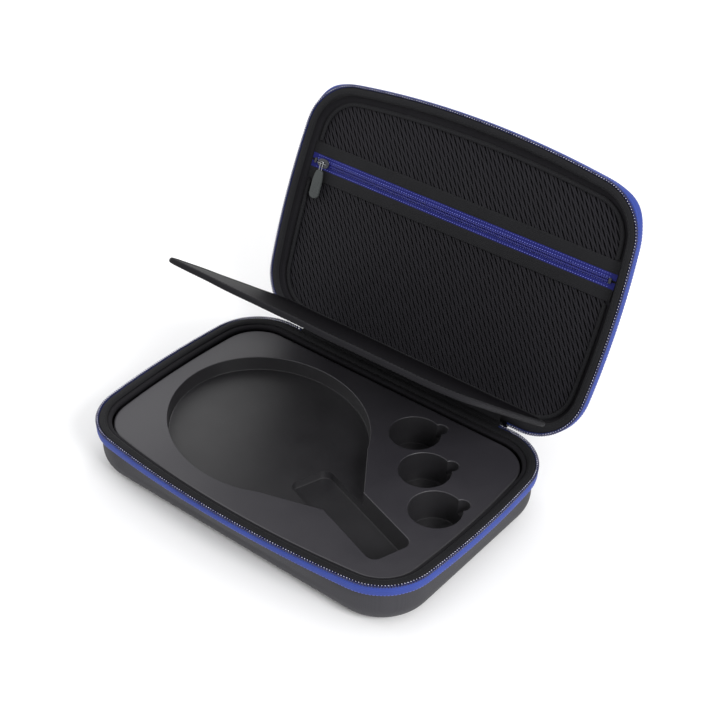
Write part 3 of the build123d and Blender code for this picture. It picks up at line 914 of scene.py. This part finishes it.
# ---- sliders and pulls, in their own axes: X along the zipper, Y the way the pull hangs, Z out ----
def slider_plate(thick, tail=5.0):
    """A cast slider's waisted plate; tail is how far it reaches behind the pull."""
    angle = np.linspace(0, 2 * math.pi, 48, endpoint=False)
    wide = 3.5 - 0.55 * np.cos(angle) - 0.35 * np.cos(2 * angle)
    long_way = np.where(np.cos(angle) < 0, tail, 5.0)
    outline = np.column_stack([long_way * np.sign(np.cos(angle)) * np.abs(np.cos(angle)) ** 0.7,
                               wide * np.sign(np.sin(angle)) * np.abs(np.sin(angle)) ** 0.7])
    return slab(outline, -thick, 0.0, 0.35)


def slider_bridge():
    """The raised loop over the plate that holds the pull's link."""
    a = np.radians(np.linspace(180, 0, 17))
    arch = np.column_stack([4.3 * np.sign(np.cos(a)) * np.abs(np.cos(a)) ** 0.6, np.zeros(17),
                            1.7 * np.sin(a) ** 0.4])
    return swept(arch, section(0.6, 0.3, 10, 0.6), up=(0, 1, 0))


def wire_link():
    """A flat loop of wire through the bridge."""
    loop = rounded_box(1.25, 4.75, 0.9, count=5, centre=(0.0, 3.5))
    line = np.column_stack([loop, np.full(len(loop), 0.6)])
    return swept(line, section(0.32, 0.32, 8), closed=True)


def pull_tab(length, wide, thick):
    """A soft tab: narrow at the link, wide and round at the end, with raised ribs across its top face."""
    y = np.linspace(0, 1, 40)
    half = wide / 2 * (0.62 + 0.38 * np.minimum(1, y / 0.35) ** 0.8)
    half = half * np.sqrt(np.clip(1 - np.clip((y - 0.84) / 0.16, 0, 1) ** 2, 0, 1))
    half = half * np.sqrt(np.clip(1 - np.clip((0.06 - y) / 0.06, 0, 1) ** 2 * 0.75, 0, 1))
    at = 6.0 + (length - 6.0) * y
    right = np.column_stack([half, at])
    left = np.column_stack([-half[::-1], at[::-1]])
    outline = spaced(np.concatenate([right[:-1], left]), 0.9, closed=True)
    low = 0.6 - thick / 2
    body = slab(outline, low, low + thick, thick * 0.3)
    grip = []
    for k in range(5):
        down, end = length - 5.5 - 2.2 * k, wide * 0.27
        line = np.array([[-end, down, low + thick], [end, down, low + thick]])
        grip.append(swept(spaced(line, 1.0), section(0.32, 0.22, 8)))
    return joined([body] + grip)


def sliders():
    pull = np.array(joints["pocket_pull_swing"]["pos_m"]) / MM
    back = turned(pull[None], HINGE, OPEN)[0]

    def on_lid(points):
        local = np.array(points, float)
        seat_z = back[2] + 0.6
        return opened(np.column_stack([back[0] - local[:, 0], back[1] + local[:, 1], seat_z - local[:, 2]]))

    seat = np.array(joints["main_pull_swing"]["pos_m"]) / MM

    def outside(points):
        local = np.array(points, float)
        return np.column_stack([seat[0] + local[:, 0], seat[1] - 0.6 + local[:, 2], seat[2] - local[:, 1]])

    for zipper, place, plate, tab in (("pocket", on_lid, (1.2, 6.4), (30.5, 9.4, 2.6)),
                                      ("main", outside, (1.1,), (28.0, 8.0, 1.8))):
        slider, body = f"{zipper}_slider", f"{zipper}_pull"
        add(f"{slider}_cast", slider_plate(*plate), "slider_metal", slider, place, [slider])
        add(f"{slider}_bridge", slider_bridge(), "slider_metal", slider, place,
            material=MATERIALS["zip_metal"])
        add(f"{zipper}_link_wire", wire_link(), "zip_metal", body, place, [f"{body}_link"])
        add(f"{zipper}_tab", pull_tab(*tab), "pull_rubber", body, place, [f"{zipper}_puller"])


# ---- hinge cloth ----
def cloth_run(profile, half_x, thick, ripple):
    """Cloth along X with the given (y, z) profile, at rest, thick mm through."""
    line = np.array(profile, float)
    tangent = unit(np.gradient(line, axis=0))
    normal = np.column_stack([-tangent[:, 1], tangent[:, 0]])
    x = np.linspace(-half_x, half_x, int(half_x / 2) + 1)
    far = np.linspace(0, 1, len(line))
    rows = []
    for face in (1, -1):
        band = []
        for k in range(len(line)):
            fold = ripple * math.sin(math.pi * far[k]) * (np.sin(x / 7.3) + 0.6 * np.sin(x / 3.1 + 1.0))
            at = line[k] + normal[k] * (face * thick / 2)
            band.append(np.column_stack([x, at[0] + normal[k][0] * fold, at[1] + normal[k][1] * fold]))
        rows += band if face == 1 else band[::-1]
    return end_capped(rows)


def lid_point(y, z):
    return opened(np.array([[0.0, y, z]]))[0, 1:]


def hinge_cloth():
    """The outer spine is shaped once at rest, from the base's wall over to the opened lid; the inner cover
    runs from the base's wall to the flap's foot.
    """
    wall = 104.6
    spine = [(wall, 24.0), (wall, 28.5), (105.3, 31.6), (107.8, 34.3), (110.7, 36.6), (113.3, 34.8),
             (115.4, 32.9), lid_point(109.6, 48.6), lid_point(105.8, 52.2), lid_point(104.4, 55.3),
             lid_point(102.9, 58.2)]
    spine = smooth_line(spine, 4)
    outer = build("hinge_spine", cloth_run(spine, HINGE_X, 0.9, 0.12), MATERIALS["binding"])
    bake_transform(outer)
    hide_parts("base_hinge_tape", "lid_hinge_tape")
    cover = [(104.5, 34.5), (104.5, 38.0), (104.8, 40.4), (105.85, 41.6), (106.4, 42.7), (108.0, 43.05),
             (109.7, 43.15), (110.3, 42.85), (110.45, 42.3)]
    cover = smooth_line(cover, 4)
    inner = add("hinge_cover", cloth_run(cover, HINGE_X, 0.5, 0.08), "binding", "base")


# ---- divider flap ----
FLAP_REAR = STRIP_FOOT[0] - STRIP_LONG - FLAP_GAP
FLAP_DEEP, FLAP_HALF, FLAP_X = 190.0, 133.0, 15.0


def at_flap(points):
    """From the closed case to the panel's rest place on the leaning strip."""
    moved = np.array(points, float)
    moved[:, 1] += STRIP_LONG + STRIP_HEAD[0] - STRIP_FOOT[0]
    moved[:, 2] += STRIP_HEAD[1] - STRIP_FOOT[1]
    return turned(moved, STRIP_HEAD, -FLAP_ANGLE)


def flap_plan():
    """The panel's plan: round front corners, rear corners that keep inside the rim."""
    front = FLAP_REAR - FLAP_DEEP
    middle = np.array([FLAP_X, (front + FLAP_REAR) / 2])
    long_box = rounded_box(FLAP_HALF, FLAP_DEEP / 2 + 26, 26, 24, (FLAP_X, front + FLAP_DEEP / 2 + 26))
    short_box = rounded_box(FLAP_HALF, FLAP_DEEP / 2, 6, 12, middle)
    angle = np.linspace(0, 2 * math.pi, 1440, endpoint=False)
    reach = np.full(len(angle), 1e9)
    for outline in (long_box, short_box, plan(10.0)):
        dense = spaced(outline, 0.5, closed=True) - middle
        turn = np.arctan2(dense[:, 1], dense[:, 0]) % (2 * math.pi)
        order = np.argsort(turn)
        reach = np.minimum(reach, np.interp(angle, turn[order], np.linalg.norm(dense, axis=1)[order],
                                            period=2 * math.pi))
    outline = middle + np.column_stack([np.cos(angle), np.sin(angle)]) * reach[:, None]
    return softened(spaced(outline, 3.0, closed=True), 1.0), middle


def flap_height(x, y):
    """Slow unevenness of the panel's two faces."""
    return (0.16 * np.sin(x / 31.0 + 0.6) * np.sin(y / 27.0) + 0.1 * np.sin(x / 13.0 + y / 19.0)
            + 0.06 * np.sin(x / 7.0 - y / 9.0 + 1.1))


def flap_points(flat, z):
    """A plan's points z mm from the flap's middle."""
    return np.column_stack([flat, CLOSE + z + flap_height(flat[:, 0], flat[:, 1])])


def flap():
    outline, middle = flap_plan()
    normal = outward(outline)
    inner = outline - normal * 3.6
    rows = []
    for face in (-1, 1):
        half = []
        for share in np.linspace(0.02, 1, 30):
            swell = 1.55 + 0.45 * min(1.0, (1 - share) / 0.06) ** 0.5
            half.append(flap_points(middle + (inner - middle) * share, face * swell))
        rows += half if face == -1 else half[::-1]
    panel = add("flap_panel", capped(rows), "flap_fabric", "flap", at_flap,
                ["flap_cover_front", "flap_cover_back"])
    profile = [(4.4, -1.72), (4.1, -2.02), (2.4, -2.1), (0.9, -1.85), (0.15, -1.1), (0.0, 0.0),
               (0.15, 1.1), (0.9, 1.85), (2.4, 2.1), (4.1, 2.02), (4.4, 1.72), (3.6, 0.9), (3.6, -0.9)]
    band = [flap_points(outline - normal * inset, z) for inset, z in profile]
    add("flap_edge_binding", grid(band, tube=True), "binding", "flap", at_flap, ["flap_binding"],
        material=FLAP_EDGE)
    seams = []
    for face in (-1, 1):
        line = flap_points(outline - normal * 3.3, face * 2.1)
        seams.append(stitches(line, closed=True, pitch=3.0, length=2.2, radius=0.2, up=(0, 0, face)))
    sew("flap_stitches", joined(seams), "flap", at_flap)
    sewn_in = [at_flap(np.array([[0, FLAP_REAR - deep, CLOSE]]))[0, 1:] for deep in (1.5, 5.0)]
    root = [STRIP_FOOT + (0.0, -0.5), STRIP_FOOT + (0.5, 2.0), STRIP_FOOT + (1.6, 6.5),
            STRIP_HEAD + (-0.3, -2.0), STRIP_HEAD + (-0.6, 0.3), *sewn_in]
    root = smooth_line(root, 4)
    cloth = build("flap_root", cloth_run(root, 98.0, 0.6, 0.08), MATERIALS["binding"])
    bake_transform(cloth)
    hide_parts("flap_hinge_strip")


def hidden_nodes():
    """Nodes whose own shape stays get their slot's finish."""
    for name, slot in (("foam_base_pad", "foam"), ("flap_board", "board")):
        mesh = nodes[name].data
        mesh.materials.clear()
        mesh.materials.append(MATERIALS[slot])


# ---- camera, light and floor ----
def camera():
    azimuth, elevation, roll = math.radians(38.178), math.radians(36.137), -0.019247
    back = Vector((math.sin(azimuth) * math.cos(elevation), -math.cos(azimuth) * math.cos(elevation),
                   math.sin(elevation)))
    level = Vector((math.cos(azimuth), math.sin(azimuth), 0))
    rise = back.cross(level)
    right = level * math.cos(roll) - rise * math.sin(roll)
    up = level * math.sin(roll) + rise * math.cos(roll)
    eye = bpy.data.objects.new("camera", bpy.data.cameras.new("camera"))
    eye.matrix_world = Matrix((right, up, back)).transposed().to_4x4()
    eye.location = Vector((-0.07194, 0.15047, 0)) + back * 1.3279
    eye.data.lens, eye.data.sensor_width = 76.99, 36.0
    eye.data.clip_start, eye.data.clip_end = 0.05, 50
    bpy.context.scene.collection.objects.link(eye)
    bpy.context.scene.camera = eye


def light(name, place, aim, size, power):
    lamp = bpy.data.lights.new(name, "AREA")
    lamp.shape, lamp.size, lamp.energy = "DISK", size, power
    made = bpy.data.objects.new(name, lamp)
    made.location = place
    made.rotation_mode = "QUATERNION"
    made.rotation_quaternion = (Vector(aim) - Vector(place)).to_track_quat("-Z", "Y")
    bpy.context.scene.collection.objects.link(made)


def studio():
    scene = bpy.context.scene
    scene.view_settings.view_transform = "Standard"
    world = bpy.data.worlds.new("studio")
    world.use_nodes = True
    sky = world.node_tree.nodes["Background"]
    sky.inputs["Color"].default_value = (1.0, 1.0, 1.0, 1.0)
    sky.inputs["Strength"].default_value = 0.92
    scene.world = world
    made, tree, shader = new_material("floor", 0.7, specular=0.2)
    paint(tree, shader, noise(tree, 0.4), (0.895, 0.895, 0.9, 1), (0.91, 0.91, 0.915, 1))
    mesh = bpy.data.meshes.new("floor")
    far = 12.0
    low = -0.0003                    # just under the base, so that the two never share a plane
    corners = [(-far, -far, low), (far, -far, low), (far, far, low), (-far, far, low)]
    mesh.from_pydata(corners, [], [(0, 1, 2, 3)])
    mesh.materials.append(made)
    floor = bpy.data.objects.new("floor", mesh)
    scene.collection.objects.link(floor)
    light("key", (1.7, -0.5, 1.3), (0.0, 0.05, 0.05), 0.9, 31)
    light("left", (-1.6, -0.5, 0.9), (0.0, 0.0, 0.03), 1.2, 5)
    light("rear", (-0.3, 1.9, 1.7), (0.0, 0.05, 0.05), 1.4, 14)


shells()
linings()
rims()
foam_tray()
mesh_pocket()
pocket_zipper()
sliders()
hinge_cloth()
flap()
hidden_nodes()
camera()
studio()
